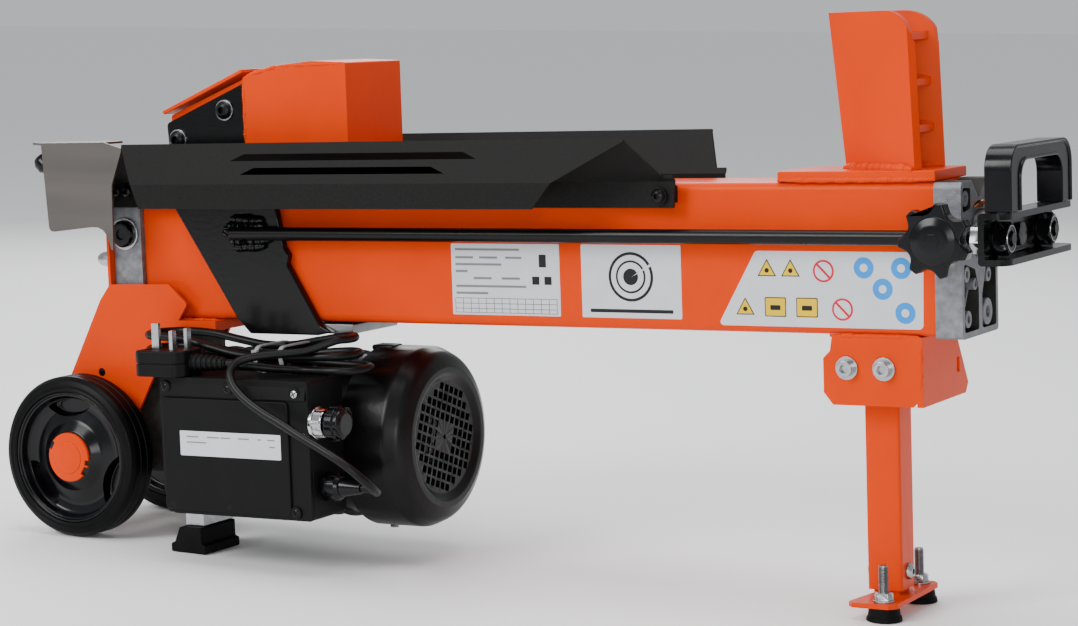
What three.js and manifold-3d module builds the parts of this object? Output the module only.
// Electric hydraulic log splitter: a box beam on two wheels and a leg, with a
// motor slung under it. A ram inside the beam pushes a crosshead out at the
// front, and two side bars draw the pusher along the beam towards the wedge.
//
// Units are millimetres. The machine is drawn square to its beam: X runs along
// the beam towards the wedge with 0 at the pusher's face, Y is across it with
// 0 at the middle, and Z is up with 0 under the leg. The whole machine is then
// tilted as it stands, wheel end low, and set with its origin at the bottom
// centre of its box.

import * as THREE from 'three';
import { mergeVertices } from 'three/addons/utils/BufferGeometryUtils.js';
import Module from 'manifold-3d';

const wasm = await Module();
wasm.setup();

// ---------------------------------------------------------------- sizes

const GAP = 0.3; // between touching pieces
const TILT = THREE.MathUtils.degToRad(2.15);
const LEG_X = 494; // the leg feet's middle, where the ground is at Z 0

const BEAM = { x0: -235, x1: 543, halfWidth: 36.5, z0: 231, z1: 355, wall: 5, corner: 8 };
const BLOCK = { x0: -267, halfWidth: 42, z0: 231, z1: 357 };
const CAP = { x1: 566, halfWidth: 42, z0: 230, z1: 355 };
const RAM_Z = 311.6; // height of the rod and of both side bars
const BAR = { y: 52.4, radius: 6.1, x0: -125, x1: 613 };
const EAR = { x0: 546, x1: 570, y1: 64, z0: 298, z1: 326, bore: 6.8 };
const CYLINDER = { outer: 30, bore: 25 };
const PISTON = { x0: -225, x1: -195, radius: 24.6 };
const ROD = { radius: 14, x1: 593.7 };
const GLAND = { x1: 580, outer: 20, bore: 14.5 };
const TOP_PLATE = { x0: 407, z1: 364 };

const WEDGE = {
  leadX: 453, tailX: 525, tailY: 34, thick: 8, top: 491,
  leadLean: -13, tailLean: -5, cornerRadius: 25, gussetHeights: [396, 433, 470], gussetThick: 6,
  weldGap: 1.5, // room for the weld between a gusset and a leaning plate
};

const PUSHER = { halfWidth: 46, rearHalfWidth: 37.7, wall: 8 };
const SIDE_PLATE = { y0: 38, y1: 46 };
const CROSSHEAD = { x0: 594, x1: 618, halfWidth: 83, z0: 292.5, z1: 333, thick: 5 };
const NUT = { x0: 599.3, x1: 610, corner: 13.4 };
const HANDLE = { x0: 597, x1: 619, halfWidth: 75, legWidth: 25, top: 385, openTop: 372 };
const KEEPER = { x0: -60, x1: -8, z0: 221, z1: 229.5 };

const KNOB = { x: 558, y0: 64.3, y1: 88, radius: 30, lobes: 7, screw: 5, screwTip: 59.6 };

const TRAY = {
  flangeY: 50, flangeZ0: 335, bendZ: 357, ridgeY: 85, ridgeZ: 391, foldY: 95, foldZ: 358.5,
  bandZ: 337, sheet: 2, x0: -264, x1: 321, slotHalfHeight: 3,
};

const WHEEL = { x: -293, radius: 75.5, yOut: 95, yIn: 57, rim: 60, hub: 22, capRadius: 23 };
const WHEEL_Z = groundZ(WHEEL.x) + WHEEL.radius / Math.cos(TILT);
const AXLE = { radius: 8, bore: 8.4, reach: 90.5 };
const BRACKET = { y0: 46, y1: 49, rearX0: -270.3, rearX1: -267.3 };

const LEG = { x0: 470, x1: 500, half: 15, wall: 2.5, z0: 19, z1: 225, headZ: 186, headHalf: 33.7 };
const LEG_BRACKET = { y0: 34, y1: 37, z0: 174, z1: 230.6 };
const FOOT = { plateZ0: 11, plateZ1: 15, y: 40, pad: 15, padTop: 12.5, stud: 4.2, studTop: 45 };
const CROSS_BOLT = { z: 33, radius: 4, head: 6.8 };

const MOTOR = { z: 126, radius: 76, x0: -195.7, x1: -2, bore: 45 };
const COWL = { radius: 81.6, x1: 65, dish: 55.5, dishDepth: 5, wall: 2.5 };
const FAN = { x0: 14, x1: 46, radius: 66, hub: 16, blades: 9 };
const SHAFT = { radius: 9, x0: -193, x1: 50, rotorRadius: 44 };
const PUMP = { x0: -262, x1: -196, halfWidth: 36, z0: 85 };
const MOTOR_FOOT = { x0: -171, x1: -141, y0: -98, y1: -44, z1: 48, lip: 4, seatTop: 61, legTop: 96 };

const BOX = { x0: -150, x1: 7, yBack: -82.3, yLid: -133, yFront: -140, z0: 69, z1: 191, wall: 3 };
const BUTTON = { y: -125, z: 154, radius: 15.5, x0: 22, x1: 38, neck: 12.5, stem: 8.5 };
const CORD_GLAND = { y: -115, z: 97, x1: 45 };

const CORD = { radius: 3.75, sides: 8 };
const HANK = { x0: -204, x1: 34, y: -75.6, half: 26.25, z0: 191.7, z1: 226 };
const PLUG = { x0: -171, x1: -121, y0: -146.5, y1: -102.5, z0: 191.5, z1: 214.5, tailY: -124, tailZ: 203, tailX: -85 };
const EARTH_PIN = { x: -161, length: 8, thick: 4, top: 237.2 };
const LIVE_PIN = { x: -135, offset: 11, length: 6.4, thick: 4, top: 232.2 };

const LEVER = { x: -278, z: 330, pin: 4.5, y0: -64, y1: -58, tipX: -324, tipZ: 372.5, half: 6, eye: 9 };
const GRIP = { x: -328.5, z: 376.7, radius: 9.2 };
const GUARD = { y0: -87, y1: -85, sheet: 2, top: 395, tabX0: -264, tabX1: -256, tabZ0: 338, tabZ1: 354 };

// Free lengths of the supply cord: from its gland over the switch box to the
// hank, and from the hank to the plug.
const CORD_ROUTE = [
  [45.4, -115, 97], [54, -115.3, 96.7], [62, -119.5, 95.6], [68.3, -128.5, 97],
  [70.5, -139, 102.5], [68, -148.5, 110.5], [60.5, -154.5, 119.5], [48, -157.3, 128.5],
  [32, -157, 136.5], [10, -155.5, 146.5], [-12, -153.5, 157], [-32, -152, 166],
  [-50, -150.5, 176.5], [-63, -148, 188], [-68.5, -143, 198.5], [-66, -135.5, 206],
  [-56, -127, 209.5], [-42, -119, 211], [-27, -111.5, 212], [-14, -105.2, 213.5],
];
const CORD_TAIL = [
  [-84.7, -124, 203], [-76, -124, 203], [-66, -122.4, 201.8], [-55, -117.4, 199.8],
  [-45, -111.5, 198], [-36.5, -105.2, 197],
];

/** Height of the ground under a place along the beam. */
function groundZ(x) {
  return (LEG_X - x) * Math.tan(TILT);
}

// ------------------------------------------------------------- finishes

const finish = (color, roughness, metalness = 0) => ({ color, roughness, metalness });
const FINISHES = {
  orange: finish(0xe8571a, 0.35),
  blackPaint: finish(0x17181a, 0.55),
  blackPlastic: finish(0x101113, 0.35),
  rubber: finish(0x18191b, 0.8),
  casting: finish(0x9b9da0, 0.5, 0.7),
  zinc: finish(0xb9bcc0, 0.35, 0.9),
  steel: finish(0x8c9094, 0.4, 0.9),
  sheetSteel: finish(0xc6c6c4, 0.42, 0.85),
  chrome: finish(0xd8dadc, 0.12, 1),
};

// ---------------------------------------------------------- shape tools

const AXES = {
  x: [new THREE.Vector3(0, 1, 0), new THREE.Vector3(0, 0, 1), new THREE.Vector3(1, 0, 0)],
  y: [new THREE.Vector3(1, 0, 0), new THREE.Vector3(0, 0, 1), new THREE.Vector3(0, -1, 0)],
  z: [new THREE.Vector3(1, 0, 0), new THREE.Vector3(0, 1, 0), new THREE.Vector3(0, 0, 1)],
};

/** An outline from [a, b] or [a, b, radius] points. A radius rounds that corner. */
function outline(points, Kind = THREE.Shape) {
  const shape = new Kind();
  points.forEach(([a, b, radius = 0], i) => {
    const corner = new THREE.Vector2(a, b);
    const before = new THREE.Vector2(...points.at(i - 1).slice(0, 2)).sub(corner);
    const after = new THREE.Vector2(...points[(i + 1) % points.length].slice(0, 2)).sub(corner);
    const turn = Math.acos(THREE.MathUtils.clamp(before.dot(after) / before.length() / after.length(), -1, 1));
    const reach = radius / Math.tan(turn / 2);
    const start = corner.clone().addScaledVector(before.normalize(), reach);
    const end = corner.clone().addScaledVector(after.normalize(), reach);
    if (i === 0) shape.moveTo(start.x, start.y);
    else shape.lineTo(start.x, start.y);
    if (radius > 0) shape.quadraticCurveTo(corner.x, corner.y, end.x, end.y);
  });
  shape.closePath();
  return shape;
}

/** A plate across one axis. Outlines are (Y, Z) across X, (X, Z) across Y and (X, Y) across Z. */
function plate(axis, points, from, to, { holes = [], segments = 4 } = {}) {
  const shape = points instanceof THREE.Shape ? points : outline(points);
  shape.holes.push(...holes);
  const options = { depth: to - from, bevelEnabled: false, curveSegments: segments };
  const geometry = new THREE.ExtrudeGeometry(shape, options);
  geometry.applyMatrix4(new THREE.Matrix4().makeBasis(...AXES[axis]));
  const start = axis === 'y' ? to : from;
  const offset = { x: [start, 0, 0], y: [0, start, 0], z: [0, 0, start] }[axis];
  return geometry.translate(...offset);
}

/** A round hole for a plate's outline. */
function roundHole(a, b, radius) {
  const path = new THREE.Path();
  path.absarc(a, b, radius, 0, 2 * Math.PI);
  return path;
}

const rectangle = (a0, a1, b0, b1, radius = 0) => [
  [a0, b0, radius], [a1, b0, radius], [a1, b1, radius], [a0, b1, radius],
];

/** A block between two corners. */
function block(x0, x1, y0, y1, z0, z1) {
  return new THREE.BoxGeometry(x1 - x0, y1 - y0, z1 - z0)
    .translate((x0 + x1) / 2, (y0 + y1) / 2, (z0 + z1) / 2);
}

/** Turns a shape drawn about Y so that its axis is the given one. */
function standAlong(geometry, axis) {
  if (axis === 'x') geometry.rotateZ(-Math.PI / 2);
  if (axis === 'z') geometry.rotateX(Math.PI / 2);
  return geometry;
}

/** A rod along an axis, between two places on it, through the other two coordinates. */
function rod(axis, radius, from, to, a, b, segments = 20) {
  const geometry = new THREE.CylinderGeometry(radius, radius, to - from, segments);
  standAlong(geometry, axis);
  const middle = (from + to) / 2;
  const centre = { x: [middle, a, b], y: [a, middle, b], z: [a, b, middle] }[axis];
  return geometry.translate(...centre);
}

/** A turned shape from [radius, distance along the axis] points; a ring closes on itself. */
function turned(axis, profile, a, b, { segments = 32, ring = false } = {}) {
  const points = profile.map(([radius, along]) => new THREE.Vector2(radius, along));
  if (ring) points.push(points[0].clone());
  const area = points.reduce((sum, p, i) => {
    const next = points[(i + 1) % points.length];
    return sum + p.x * next.y - next.x * p.y;
  }, 0);
  if (area < 0) points.reverse();
  const geometry = standAlong(new THREE.LatheGeometry(points, segments), axis);
  const centre = { x: [0, a, b], y: [a, 0, b], z: [a, b, 0] }[axis];
  return geometry.translate(...centre);
}

/** A round cord through a list of points. */
function cordTube(points) {
  const curve = new THREE.CatmullRomCurve3(points.map((p) => new THREE.Vector3(...p)), false, 'centripetal');
  const section = new THREE.Shape();
  section.absarc(0, 0, CORD.radius, 0, 2 * Math.PI);
  const steps = Math.ceil(curve.getLength() / (5 * CORD.radius));
  return new THREE.ExtrudeGeometry(section, { steps, extrudePath: curve, curveSegments: CORD.sides, bevelEnabled: false });
}

/** A sheet's closed profile: a line of points with a thickness to its left. */
function ribbon(points, thickness) {
  const line = points.map((p) => new THREE.Vector2(...p));
  const offset = line.map((p, i) => {
    const into = (i > 0 ? p.clone().sub(line[i - 1]) : line[1].clone().sub(p)).normalize();
    const out = (i < line.length - 1 ? line[i + 1].clone().sub(p) : into.clone()).normalize();
    const normal = new THREE.Vector2(-into.y - out.y, into.x + out.x).normalize();
    const miter = thickness / (normal.x * -into.y + normal.y * into.x);
    return p.clone().addScaledVector(normal, miter);
  });
  return [...line, ...offset.reverse()].map((p) => [p.x, p.y]);
}

/** A closed geometry as a solid for joining and cutting. */
function solid(geometry) {
  const bare = geometry.clone();
  bare.deleteAttribute('normal');
  bare.deleteAttribute('uv');
  const merged = mergeVertices(bare, 1e-3);
  const mesh = { numProp: 3, vertProperties: merged.attributes.position.array, triVerts: merged.index.array };
  return new wasm.Manifold(new wasm.Mesh(mesh));
}

/** A solid back as a geometry. */
function geometryOf(manifold) {
  const mesh = manifold.getMesh();
  const geometry = new THREE.BufferGeometry();
  geometry.setAttribute('position', new THREE.BufferAttribute(new Float32Array(mesh.vertProperties), 3));
  geometry.setIndex(new THREE.BufferAttribute(new Uint32Array(mesh.triVerts), 1));
  geometry.computeVertexNormals();
  return geometry;
}

/** Joins overlapping geometries into one. */
const join = (...parts) => geometryOf(parts.map(solid).reduce((whole, part) => whole.add(part)));

/** Cuts the later geometries out of the first. */
const cut = (first, ...tools) => geometryOf(tools.map(solid).reduce((whole, tool) => whole.subtract(tool), solid(first)));

/** Adds one named piece to an assembly. */
function piece(assembly, name, kind, geometry) {
  const mesh = new THREE.Mesh(geometry, new THREE.MeshStandardMaterial(FINISHES[kind]));
  mesh.name = name;
  assembly.add(mesh);
}

const SIDES = [['near', -1], ['far', 1]];

/** The span from a to b on one side of the beam, in rising order. */
const span = (side, a, b) => (side < 0 ? [-b, -a] : [a, b]);

// ----------------------------------------------------- beam and its ends

function makeBeam() {
  const beam = new THREE.Group();
  const { x0, x1, halfWidth, z0, z1, wall, corner } = BEAM;
  const bore = outline(rectangle(-halfWidth + wall, halfWidth - wall, z0 + wall, z1 - wall, corner - wall), THREE.Path);
  const outer = rectangle(-halfWidth, halfWidth, z0, z1, corner);
  piece(beam, 'main_beam', 'orange', plate('x', outer, x0, x1, { holes: [bore] }));
  piece(beam, 'beam_top_plate', 'orange',
    block(TOP_PLATE.x0, x1, -halfWidth, halfWidth, z1 + GAP, TOP_PLATE.z1));
  piece(beam, 'rear_end_block', 'casting', rearBlock());
  piece(beam, 'relief_valve_cap', 'blackPlastic', turned('y',
    [[0, -BLOCK.halfWidth - GAP], [14, -BLOCK.halfWidth - GAP], [14, -47], [11, -50], [0, -50]], -253, 310,
    { segments: 20 }));
  piece(beam, 'front_end_cap', 'casting', frontCap());
  piece(beam, 'hydraulic_cylinder', 'steel', turned('x', [
    [CYLINDER.outer, x0 + GAP], [CYLINDER.outer, x1], [CYLINDER.bore, x1], [CYLINDER.bore, x0 + GAP],
  ], 0, RAM_Z, { ring: true, segments: 24 }));
  piece(beam, 'rod_gland', 'steel', turned('x', [
    [GLAND.outer, CAP.x1 + GAP], [GLAND.outer, GLAND.x1 - 2], [GLAND.outer - 2, GLAND.x1],
    [GLAND.bore, GLAND.x1], [GLAND.bore, CAP.x1 + GAP],
  ], 0, RAM_Z, { ring: true, segments: 24 }));
  return beam;
}

/** The block that closes the beam's rear, with the lever's pivot pin on its left. */
function rearBlock() {
  const body = plate('x', rectangle(-BLOCK.halfWidth, BLOCK.halfWidth, BLOCK.z0, BLOCK.z1, 4), BLOCK.x0, BEAM.x0 - GAP);
  const lug = block(LEVER.x - 7, BLOCK.x0 + 1, -52, -34, LEVER.z - 8, LEVER.z + 8);
  return join(body, lug, rod('y', LEVER.pin, -66, -51, LEVER.x, LEVER.z, 16));
}

/** The cast cap at the front, with ears that guide the side bars. */
function frontCap() {
  const { halfWidth, z0, z1, x1 } = CAP;
  const face = [
    [-halfWidth, z0, 4], [halfWidth, z0, 4], [halfWidth, z1, 6], [16, z1, 3], [0, z1 - 16, 4], [-16, z1, 3],
    [-halfWidth, z1, 6],
  ];
  let cap = plate('x', face, BEAM.x1 + GAP, x1);
  for (const [, side] of SIDES) {
    const [y0, y1] = span(side, halfWidth - 2, EAR.y1);
    cap = join(cap, plate('x', rectangle(y0, y1, EAR.z0, EAR.z1, 5), EAR.x0, EAR.x1));
  }
  const bores = SIDES.map(([, side]) => rod('x', EAR.bore, EAR.x0 - 5, EAR.x1 + 5, side * BAR.y, RAM_Z, 24));
  const screwHole = rod('y', KNOB.screw + 0.4, -EAR.y1 - 2, -BAR.y - 2, KNOB.x, RAM_Z, 16);
  return cut(cap, ...bores, screwHole, rod('x', GLAND.bore, BEAM.x1 - 5, x1 + 5, 0, RAM_Z, 24));
}

// ---------------------------------------------------------------- wedge

/** Leans a shape so that its leading edge and its tail slope as they rise. */
function leanWedge(geometry) {
  const place = geometry.attributes.position;
  const { leadX, tailX, top, leadLean, tailLean } = WEDGE;
  for (let i = 0; i < place.count; i += 1) {
    const along = (place.getX(i) - leadX) / (tailX - leadX);
    const rise = (place.getZ(i) - TOP_PLATE.z1) / (top - TOP_PLATE.z1);
    place.setX(i, place.getX(i) + rise * (leadLean + (tailLean - leadLean) * along));
  }
  return geometry;
}

function makeWedge() {
  const wedge = new THREE.Group();
  const { leadX, tailX, tailY, thick, top, cornerRadius, gussetHeights, gussetThick } = WEDGE;
  const slope = Math.atan2(tailY, tailX - leadX);
  const innerLead = leadX + thick / Math.sin(slope);
  const innerTailY = tailY - thick * Math.cos(slope);
  const tailTop = tailX + WEDGE.tailLean;
  const corner = new THREE.Shape();
  corner.moveTo(tailTop - cornerRadius, top + 2);
  corner.lineTo(tailTop + 12, top + 2);
  corner.lineTo(tailTop + 12, top - cornerRadius);
  corner.lineTo(tailTop + 3, top - cornerRadius);
  corner.absarc(tailTop + 3 - cornerRadius, top - cornerRadius, cornerRadius, 0, Math.PI / 2, false);
  corner.closePath();
  for (const [side, sign] of SIDES) {
    const cheek = [
      [leadX, sign * GAP / 2], [tailX, sign * tailY],
      [tailX + thick * Math.sin(slope), sign * innerTailY], [innerLead, sign * GAP / 2],
    ];
    const body = leanWedge(plate('z', cheek, TOP_PLATE.z1 + GAP, top));
    piece(wedge, `wedge_plate_${side}`, 'orange', cut(body, plate('y', corner.clone(), -50, 50, { segments: 8 })));
  }
  gussetHeights.forEach((height, i) => {
    const reach = (x) => (x - innerLead) * Math.tan(slope) - WEDGE.weldGap;
    const [front, back] = [innerLead + 14, tailX - 3];
    const web = [[front, -reach(front)], [back, -reach(back)], [back, reach(back)], [front, reach(front)]];
    const z0 = height - gussetThick / 2;
    piece(wedge, `wedge_gusset_${i + 1}`, 'orange', leanWedge(plate('z', web, z0, z0 + gussetThick)));
  });
  return wedge;
}

// ------------------------------------------------------------ log trays

/** A folded log tray on one side, its inner flange bolted to the beam's ends through spacers. */
function trayShape(sign) {
  const t = TRAY;
  const fold = [
    [t.flangeY, t.flangeZ0], [t.flangeY, t.bendZ], [t.ridgeY, t.ridgeZ], [t.foldY, t.foldZ], [t.foldY, t.bandZ],
  ];
  const profile = ribbon(fold, t.sheet).map(([y, z]) => [sign * y, z]);
  const outside = span(sign, t.ridgeY, t.foldY + 5);
  const inside = span(sign, t.flangeY + 3, t.ridgeY);
  const flange = span(sign, t.flangeY - 5, t.flangeY + 3);
  const far = 60;
  const cuts = [
    plate('y', [[t.x0 - 5, 400], [-219, 400], [-219, 392], [-203, t.foldZ], [-192, 330], [t.x0 - 5, 330]], ...outside),
    plate('y', [[293, 400], [t.x1 + far, 400], [t.x1 + far, 330], [205, 330], [229, t.foldZ], [293, 392]], ...outside),
    plate('y', [[t.x0 - 5, 400], [-219, 400], [-219, 392], [t.x0 + 4, 360], [t.x0 - 5, 360]], ...inside),
    plate('y', [[293, 400], [t.x1 + far, 400], [t.x1 + far, 350], [318, 350], [293, 392]], ...inside),
    plate('y', [[t.x1 - 2, 400], [t.x1 + far, 400], [t.x1 + far, 330], [t.x1 - 2, 330], [t.x1, 355]], ...flange),
  ];
  for (const [x0, x1, z] of [[-96, 156, 382], [-84, 126, 370]]) {
    const h = t.slotHalfHeight;
    const slot = [[x0, z - h], [x0 + 14, z + h], [x1 - 14, z + h], [x1, z - h]];
    cuts.push(plate('y', slot, ...span(sign, t.foldY - 14, t.foldY + 5)));
  }
  const sheet = cut(plate('x', profile, t.x0, t.x1), ...cuts);
  const frontSpacer = block(303, 317, ...span(sign, BEAM.halfWidth + GAP, t.flangeY - 0.5), 339, 353);
  const rearSpacer = block(t.x0, -237, ...span(sign, BLOCK.halfWidth + GAP, t.flangeY - 0.5), 339, 355);
  return join(sheet, frontSpacer, rearSpacer);
}

function makeTrays() {
  const trays = new THREE.Group();
  for (const [side, sign] of SIDES) piece(trays, `log_tray_${side}`, 'blackPaint', trayShape(sign));
  return trays;
}

// ------------------------------------------------------- leg and its foot

function makeLeg() {
  const leg = new THREE.Group();
  const { z0, z1, y0, y1 } = LEG_BRACKET;
  const cheek = [[452, z1], [450, 218], [444, 212], [444, 184], [452, z0], [521, z0], [528, 181], [528, z1]];
  const web = [[-y1, z1], [38, z1], [68, 182], [62, z0], [-y1, z0]];
  const slot = outline(rectangle(41, 47, 194, 206), THREE.Path);
  piece(leg, 'leg_bracket', 'orange', join(
    plate('y', cheek, -y1, -y0), plate('y', cheek, y0, y1), plate('x', web, 524.5, 530, { holes: [slot] })));

  const { x0, x1, half, wall } = LEG;
  const bore = outline(rectangle(x0 + wall, x1 - wall, -half + wall, half - wall, 1), THREE.Path);
  const tube = plate('z', rectangle(x0, x1, -half, half, 3), LEG.z0, LEG.z1, { holes: [bore] });
  const head = block(x0 - 8, x1 + 8, -LEG.headHalf, LEG.headHalf, LEG.headZ, LEG.z1);
  const boltHole = rod('x', CROSS_BOLT.radius + 0.4, x0 - 20, x1 + 20, 0, CROSS_BOLT.z, 16);
  piece(leg, 'leg_tube', 'orange', cut(join(tube, head), boltHole));
  piece(leg, 'leg_cross_bolt', 'zinc', turned('x', [
    [0, x0 - 5], [CROSS_BOLT.head, x0 - 3], [CROSS_BOLT.head, x0 - GAP], [CROSS_BOLT.radius, x0 - GAP],
    [CROSS_BOLT.radius, x1 + GAP], [CROSS_BOLT.head, x1 + GAP], [CROSS_BOLT.head, x1 + 3], [0, x1 + 5],
  ], 0, CROSS_BOLT.z, { segments: 16 }));

  const shape = [[466, -47, 2], [471, -52, 2], [502, -52, 2], [508, -46, 2], [508, 46, 2], [503, 52, 2], [486, 52, 2], [481, 46, 2]];
  const studHoles = SIDES.map(([, sign]) => roundHole(LEG_X, sign * FOOT.y, FOOT.stud + 0.4));
  const base = plate('z', shape, FOOT.plateZ0, FOOT.plateZ1, { holes: studHoles, segments: 8 });
  const tongue = block(x0 + 4, x1 - 4, -11, 11, FOOT.plateZ1 - 1, CROSS_BOLT.z + 11);
  piece(leg, 'leg_foot_plate', 'orange', cut(join(base, tongue), boltHole));
  for (const [side, sign] of SIDES) piece(leg, `foot_pad_${side}`, 'rubber', padShape(sign * FOOT.y));
  return leg;
}

/** A rubber pad moulded on its stud. Its underside lies level on the ground. */
function padShape(y) {
  const top = FOOT.plateZ0 - GAP;
  const pad = turned('z', [
    [0, 0], [FOOT.pad, 0], [FOOT.pad - 1.5, 5], [FOOT.padTop, top], [FOOT.stud, top],
    [FOOT.stud, FOOT.studTop], [0, FOOT.studTop],
  ], LEG_X, y, { segments: 24 });
  const place = pad.attributes.position;
  for (let i = 0; i < place.count; i += 1) {
    if (place.getZ(i) < 1) place.setZ(i, groundZ(place.getX(i)));
  }
  return pad;
}

// --------------------------------------------------------------- wheels

function makeWheelBracket() {
  const group = new THREE.Group();
  const { y0, y1, rearX0, rearX1 } = BRACKET;
  const cheek = [
    [-269, 263], [-201, 264, 4], [-181, 246, 3], [-197, 223, 6], [-240, 148, 20], [-268, WHEEL_Z - 12, 8],
    [-293, WHEEL_Z - 20, 10], [-316, WHEEL_Z - 6, 10], [-322, 172, 8], [-281, 248, 4],
  ];
  const parts = [
    block(rearX0, rearX1, -y1, y1, BEAM.z0 - 1, 320),
    block(-199, -150, -y1, y1, 222, BEAM.z0 - GAP),
  ];
  for (const [, sign] of SIDES) {
    const holes = [roundHole(WHEEL.x, WHEEL_Z, AXLE.bore), roundHole(-283, 180, 4)];
    parts.push(plate('y', cheek, ...span(sign, y0, y1), { holes, segments: 8 }));
  }
  piece(group, 'wheel_bracket', 'orange', join(...parts));
  piece(group, 'wheel_axle', 'steel', rod('y', AXLE.radius, -AXLE.reach, AXLE.reach, WHEEL.x, WHEEL_Z, 20));
  return group;
}

/** A wheel on one side: tyre, moulded disc and hub cap. */
function makeWheel(side, sign) {
  const wheel = new THREE.Group();
  const { radius, yOut, yIn, rim, hub, capRadius } = WHEEL;
  const shoulder = 7;
  const around = (profile, options) => {
    const mirrored = profile.map(([r, y]) => [r, sign * y]);
    return turned('y', mirrored, 0, 0, options).rotateY(TILT).translate(WHEEL.x, 0, WHEEL_Z);
  };
  piece(wheel, `tyre_${side}`, 'rubber', around([
    [rim + GAP, yIn + 2], [radius - shoulder, yIn], [radius, yIn + shoulder], [radius, yOut - shoulder],
    [radius - shoulder, yOut - 1], [rim + GAP, yOut - 1],
  ], { ring: true, segments: 48 }));
  piece(wheel, `wheel_disc_${side}`, 'blackPlastic', around([
    [AXLE.bore, yIn], [hub, yIn], [hub, yIn + 12], [rim - 4, yIn + 12], [rim - 4, yIn + 3], [rim, yIn + 3],
    [rim, yOut - 2], [rim - 4, yOut - 2], [rim - 5, yOut - 9], [hub + 3, yOut - 9], [hub, yOut - 4],
    [AXLE.bore, yOut - 4],
  ], { ring: true, segments: 32 }));
  piece(wheel, `hub_cap_${side}`, 'orange', around([
    [0, yOut - 4 + GAP], [capRadius, yOut - 4 + GAP], [capRadius, yOut - 1.5], [capRadius - 3, yOut], [0, yOut],
  ], { segments: 24 }));
  return wheel;
}

// ------------------------------------------------------- motor and pump

function makeMotor() {
  const motor = new THREE.Group();
  const { z, radius, x0, x1, bore } = MOTOR;
  const shell = turned('x', [
    [radius - 6, x0], [radius, x0 + 8], [radius, x1], [bore, x1], [bore, -178], [SHAFT.radius + 1, -178], [SHAFT.radius + 1, x0],
  ], 0, z, { ring: true });
  const pad = cut(block(-130, -30, BOX.yBack + GAP, -60, 95, 160), rod('x', radius - 4, -140, -20, 0, z, 32));
  piece(motor, 'motor_body', 'blackPaint', join(shell, pad));

  const { dish, dishDepth, wall } = COWL;
  const end = COWL.x1;
  piece(motor, 'fan_cowl', 'blackPaint', turned('x', [
    [0, end - dishDepth], [dish, end - dishDepth], [dish + 2, end], [dish + 9, end], [dish + 18, end - 3],
    [COWL.radius - 2, end - 9], [COWL.radius, end - 15], [COWL.radius, GAP], [COWL.radius - wall, GAP],
    [COWL.radius - wall, end - 16], [dish + 16, end - 6], [dish, end - dishDepth - wall], [0, end - dishDepth - wall],
  ], 0, z, { segments: 40 }));

  const housing = plate('x', rectangle(-PUMP.halfWidth, PUMP.halfWidth, PUMP.z0, BEAM.z0 - GAP, 8), PUMP.x0, -200);
  piece(motor, 'pump_housing', 'casting', join(housing, rod('x', 60, -206, PUMP.x1, 0, z, 32)));

  const { x0: fx0, x1: fx1, y0, y1, z1, lip, seatTop, legTop } = MOTOR_FOOT;
  const sole = [[fx0 - lip, groundZ(fx0 - lip)], [fx1 + lip, groundZ(fx1 + lip)], [fx1 + lip, groundZ(fx1) + 8],
    [fx1, groundZ(fx1) + 9], [fx1, z1], [fx0 + 6, z1], [fx0, groundZ(fx0) + 9], [fx0 - lip, groundZ(fx0) + 8]];
  piece(motor, 'motor_foot', 'rubber', plate('y', sole, y0, y1));
  const seat = join(block(fx0 + 8, fx1 - 2, y0 + 8, y1, z1 + GAP, seatTop), block(fx0 + 8, fx1 - 2, -73, y1, z1 + GAP, legTop));
  piece(motor, 'motor_foot_bracket', 'zinc', cut(seat, rod('x', radius + GAP, fx0 - 9, fx1 + 9, 0, z, 48)));
  return motor;
}

function makeRotor() {
  const rotor = new THREE.Group();
  const { radius, x0, x1, rotorRadius } = SHAFT;
  piece(rotor, 'rotor_shaft', 'steel', turned('x', [
    [0, x0], [radius, x0], [radius, -150], [rotorRadius, -150], [rotorRadius, -30], [radius, -30], [radius, x1], [0, x1],
  ], 0, MOTOR.z, { segments: 24 }));
  const parts = [turned('x', [
    [radius + GAP, FAN.x0], [FAN.radius, FAN.x0], [FAN.radius, FAN.x0 + 2], [FAN.hub, FAN.x0 + 4],
    [FAN.hub, FAN.x1], [radius + GAP, FAN.x1],
  ], 0, MOTOR.z, { ring: true, segments: 24 })];
  for (let i = 0; i < FAN.blades; i += 1) {
    const blade = block(FAN.x0 + 1, FAN.x1 - 6, -1.2, 1.2, FAN.hub - 3, FAN.radius - 1);
    parts.push(blade.rotateX((2 * Math.PI * i) / FAN.blades).translate(0, 0, MOTOR.z));
  }
  piece(rotor, 'cooling_fan', 'blackPlastic', join(...parts));
  return rotor;
}

// --------------------------------------------------- switch box and cord

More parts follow.
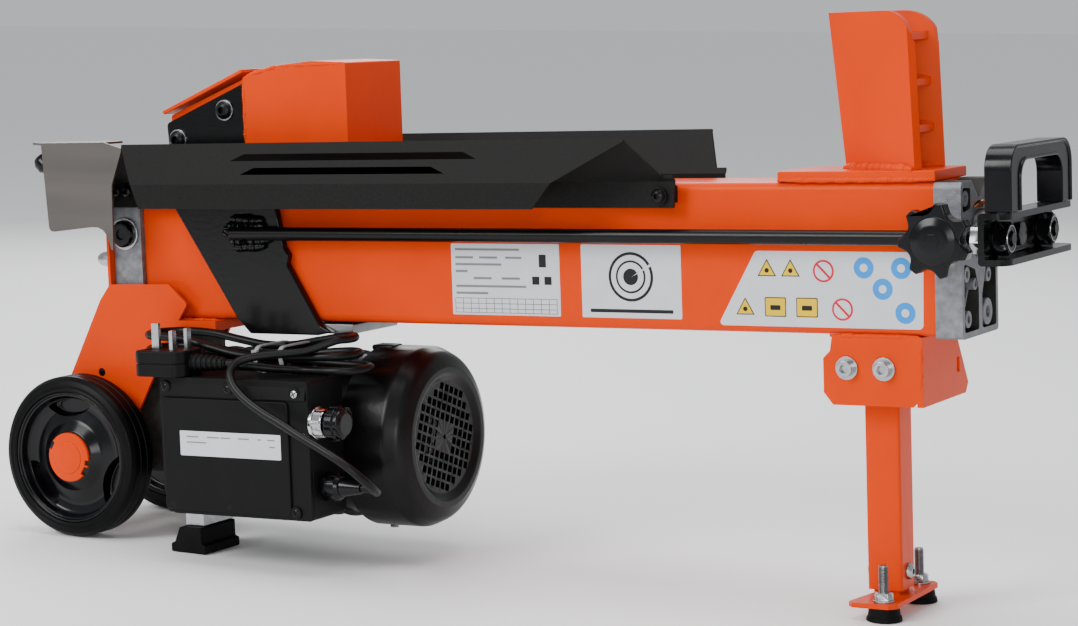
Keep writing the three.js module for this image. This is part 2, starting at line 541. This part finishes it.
function makeSwitchBox() {
  const box = new THREE.Group();
  const { x0, x1, yBack, yLid, yFront, z0, z1, wall } = BOX;
  const shell = plate('y', rectangle(x0, x1, z0, z1, 4), yLid, yBack);
  const room = plate('y', rectangle(x0 + wall, x1 - wall, z0 + wall, z1 - wall, 2), yLid - 5, yBack - wall);
  piece(box, 'switch_box', 'blackPlastic', cut(shell, room));
  const front = [[yLid - GAP, z0], [yLid - GAP, z1], [yLid - 1.5, z1], [yFront, z1 - 17], [yFront, z0 + 4], [yFront + 3, z0]];
  piece(box, 'switch_box_lid', 'blackPlastic', plate('x', front, x0, x1));
  const { y, z, radius, neck, stem } = BUTTON;
  piece(box, 'button_neck', 'zinc', turned('x', [
    [stem + 0.6, x1 + GAP], [neck + 2, x1 + GAP], [neck + 2, x1 + 3], [neck, x1 + 3], [neck, 19], [stem + 0.6, 19],
  ], y, z, { ring: true, segments: 24 }));
  const gland = CORD_GLAND;
  piece(box, 'cable_gland', 'blackPlastic', turned('x', [
    [0, x1 + GAP], [13, x1 + GAP], [13, 16], [11.5, 16], [11.5, 24], [9.5, 28], [7, 32], [5.2, gland.x1], [0, gland.x1],
  ], gland.y, gland.z, { segments: 18 }));
  const button = new THREE.Group();
  piece(button, 'start_button', 'blackPlastic', turned('x', [
    [0, 13], [stem, 13], [stem, BUTTON.x0], [radius, BUTTON.x0], [radius, BUTTON.x1 - 3], [radius - 3, BUTTON.x1], [0, BUTTON.x1],
  ], y, z, { segments: 24 }));
  return [box, button];
}

function makeCord() {
  const cord = new THREE.Group();
  piece(cord, 'power_cord', 'rubber', cordTube(CORD_ROUTE));
  piece(cord, 'cord_tail', 'rubber', cordTube(CORD_TAIL));
  const { x0, x1, y, half, z0, z1 } = HANK;
  const loop = new THREE.Shape();
  loop.absarc(x1 - half, y, half, -Math.PI / 2, Math.PI / 2, false);
  loop.absarc(x0 + half, y, half, Math.PI / 2, -Math.PI / 2, false);
  piece(cord, 'cord_hank', 'rubber', plate('z', loop, z0, z1, { segments: 10 }));

  const p = PLUG;
  const body = plate('z', [[p.x0, p.y0, 8], [p.x1, p.y0 + 8, 6], [p.x1, p.y1 - 8, 6], [p.x0, p.y1, 8]], p.z0, p.z1);
  const tail = turned('x', [[0, p.x1 - 8], [8.5, p.x1 - 8], [5, p.tailX], [0, p.tailX]], p.tailY, p.tailZ, { segments: 12 });
  const pin = (x, y, sizeX, sizeY, top) => block(x - sizeX / 2, x + sizeX / 2, y - sizeY / 2, y + sizeY / 2, p.z1 - 1, top);
  const earth = pin(EARTH_PIN.x, p.tailY, EARTH_PIN.length, EARTH_PIN.thick, EARTH_PIN.top);
  const live = SIDES.map(([, sign]) => (
    pin(LIVE_PIN.x, p.tailY + sign * LIVE_PIN.offset, LIVE_PIN.thick, LIVE_PIN.length, LIVE_PIN.top)));
  piece(cord, 'plug', 'blackPlastic', join(body, tail, earth, ...live));
  return cord;
}

// ---------------------------------------------------- ram and its pusher

const SIDE_OUTLINE = [
  [-197, 412, 5], [-110, 447], [-110, 392], [-97, 375, 12], [-81, 335, 10], [-74, 300, 4], [-69, 292, 3],
  [-71, 284, 3], [-38, 229, 4], [-25, 223], [-41, 220], [-114, 220], [-128, 234, 4], [-192, 333, 8],
];

/** The hollow block that pushes the log, open underneath and riding on the beam. */
function pusherShape() {
  const { halfWidth, rearHalfWidth, wall } = PUSHER;
  const base = BEAM.z1 + 0.5;
  const front = [[-109, base], [0, base], [0, 463, 2], [-36, 465, 6], [-71, 462, 4], [-109, 453]];
  const rear = [[-197, 360], [-100, 360], [-100, 456], [-109, 453], [-197, 419, 3]];
  const room = [[-187, 340], [-12, 340], [-12, 452], [-100, 444], [-187, 408]];
  const body = cut(
    join(plate('y', front, -halfWidth, halfWidth), plate('y', rear, -rearHalfWidth, rearHalfWidth)),
    plate('y', room, -rearHalfWidth + wall, rearHalfWidth - wall));
  const clearance = SIDE_OUTLINE.map(([x, z, radius]) => [x + (x > -112 ? 0.6 : -0.6), z + (z > 400 ? 0.6 : -0.2), radius]);
  const { y0, y1 } = SIDE_PLATE;
  return cut(body, ...SIDES.map(([, sign]) => plate('y', clearance, ...span(sign, y0 - GAP, y1 + 2))));
}

function makeRam() {
  const ram = new THREE.Group();
  piece(ram, 'pusher_block', 'orange', pusherShape());
  for (const [side, sign] of SIDES) {
    piece(ram, `pusher_side_${side}`, 'blackPaint', plate('y', SIDE_OUTLINE, ...span(sign, SIDE_PLATE.y0, SIDE_PLATE.y1)));
    piece(ram, `side_bar_${side}`, 'blackPaint', rod('x', BAR.radius, BAR.x0, BAR.x1, sign * BAR.y, RAM_Z, 16));
    piece(ram, `bar_nut_${side}`, 'blackPaint', cut(
      rod('x', NUT.corner, NUT.x0, NUT.x1, sign * BAR.y, RAM_Z, 6),
      rod('x', BAR.radius + GAP, NUT.x0 - 2, NUT.x1 + 2, sign * BAR.y, RAM_Z, 16)));
  }
  const keeperHalf = SIDE_PLATE.y0 - GAP;
  piece(ram, 'keeper_block', 'steel', block(KEEPER.x0, KEEPER.x1, -keeperHalf, keeperHalf, KEEPER.z0, KEEPER.z1));
  piece(ram, 'piston', 'steel', rod('x', PISTON.radius, PISTON.x0, PISTON.x1, 0, RAM_Z, 24));
  piece(ram, 'piston_rod', 'chrome', rod('x', ROD.radius, PISTON.x1 + GAP, ROD.x1, 0, RAM_Z, 24));

  const { x0, x1, halfWidth, z0, z1, thick } = CROSSHEAD;
  const channel = [[x0, z0], [x1, z0], [x1, z0 + thick], [x0 + thick, z0 + thick], [x0 + thick, z1 - thick], [x1, z1 - thick], [x1, z1], [x0, z1]];
  const holes = SIDES.map(([, sign]) => rod('x', BAR.radius + 0.5, x0 - 5, x1 + 5, sign * BAR.y, RAM_Z, 16));
  piece(ram, 'crosshead', 'blackPaint', cut(plate('y', channel, -halfWidth, halfWidth), ...holes));

  const { halfWidth: reach, legWidth, top, openTop } = HANDLE;
  const foot = z1 + GAP;
  const inner = reach - legWidth;
  piece(ram, 'carry_handle', 'blackPlastic', plate('x', [
    [-reach, foot], [-inner, foot], [-inner, openTop, 9], [inner, openTop, 9], [inner, foot], [reach, foot],
    [reach, top - 12, 6], [reach - 12, top, 8], [-reach + 12, top, 8], [-reach, top - 12, 6],
  ], HANDLE.x0, HANDLE.x1));
  return ram;
}

// ------------------------------------------------- knob, lever and guard

function makeKnob() {
  const knob = new THREE.Group();
  const { x, y0, y1, radius, lobes, screw, screwTip } = KNOB;
  const steps = lobes * 6;
  const star = new THREE.Shape();
  for (let i = 0; i < steps; i += 1) {
    const angle = (2 * Math.PI * i) / steps;
    const reach = radius - 3.2 + 3.2 * Math.cos(lobes * angle);
    const point = [x + reach * Math.cos(angle), RAM_Z + reach * Math.sin(angle)];
    if (i === 0) star.moveTo(...point);
    else star.lineTo(...point);
  }
  star.closePath();
  piece(knob, 'star_knob', 'blackPlastic', join(
    plate('y', star, -y1 + 3, -y0 - 6), rod('y', 12, -y0 - 7, -y0, x, RAM_Z), rod('y', 15, -y1, -y1 + 4, x, RAM_Z),
    rod('y', screw, -y0 - 1, -screwTip, x, RAM_Z, 16)));
  return knob;
}

function makeLever() {
  const lever = new THREE.Group();
  const { x, z, pin, y0, y1, tipX, tipZ, half, eye } = LEVER;
  const along = new THREE.Vector2(tipX - x, tipZ - z);
  const across = new THREE.Vector2(-along.y, along.x).normalize().multiplyScalar(half);
  const arm = [[x + across.x, z + across.y], [x - across.x, z - across.y], [tipX - across.x, tipZ - across.y], [tipX + across.x, tipZ + across.y]];
  piece(lever, 'control_lever', 'zinc', cut(
    join(plate('y', arm, y0, y1), rod('y', eye, y0, y1, x, z)), rod('y', pin + 0.4, y0 - 2, y1 + 2, x, z, 16)));
  const r = GRIP.radius;
  const grip = turned('y', [
    [0, -r], [0.6 * r, -0.85 * r], [r, -0.3 * r], [r, 0.3 * r], [0.75 * r, 0.8 * r], [0, 1.05 * r],
  ], 0, 0, { segments: 16 });
  grip.rotateX(Math.PI / 2).rotateY(Math.atan2(along.x, along.y)).translate(GRIP.x, (y0 + y1) / 2, GRIP.z);
  piece(lever, 'lever_grip', 'blackPlastic', cut(grip, plate('y', arm, y0 - GAP, y1 + GAP)));
  return lever;
}

/** The bare sheet guard over the lever: a near panel, a top flange and a tab on the tray's end. */
function makeGuard() {
  const guard = new THREE.Group();
  const { y0, y1, sheet, top, tabX0, tabX1, tabZ0, tabZ1 } = GUARD;
  const panel = [
    [-311, top + 1], [-239, top + 2], [-218, 391, 3], [-231.5, 358, 8], [-233, 298.5], [-235.5, 299], [-241, 321, 18],
    [-306, 314.5, 6],
  ];
  const roof = [[-311, y0, 3], [-240, y0, 3], [-240, -52, 8], [-336, -46, 8], [-336, -70, 12]];
  const tabY = -TRAY.flangeY - TRAY.sheet - GAP;
  piece(guard, 'lever_guard', 'sheetSteel', join(
    plate('y', panel, y0, y1), plate('z', roof, top, top + sheet),
    block(tabX0, tabX0 + sheet, y0, tabY, tabZ0, tabZ1), block(tabX0, tabX1, tabY - sheet, tabY, tabZ0, tabZ1)));
  return guard;
}

// -------------------------------------------------------------- machine

const machine = new THREE.Group();
machine.add(
  makeBeam(), makeWedge(), makeTrays(), makeLeg(), makeWheelBracket(), makeMotor(), makeRotor(),
  ...makeSwitchBox(), makeRam(), makeKnob(), makeLever(), makeGuard());
for (const [side, sign] of SIDES) machine.add(makeWheel(side, sign));
machine.rotation.y = -TILT;

const splitter = new THREE.Group();
splitter.add(machine);
const bounds = new THREE.Box3().setFromObject(splitter, true);
machine.position.set(-(bounds.min.x + bounds.max.x) / 2, -(bounds.min.y + bounds.max.y) / 2, -bounds.min.z);
machine.add(makeCord());

export default splitter;
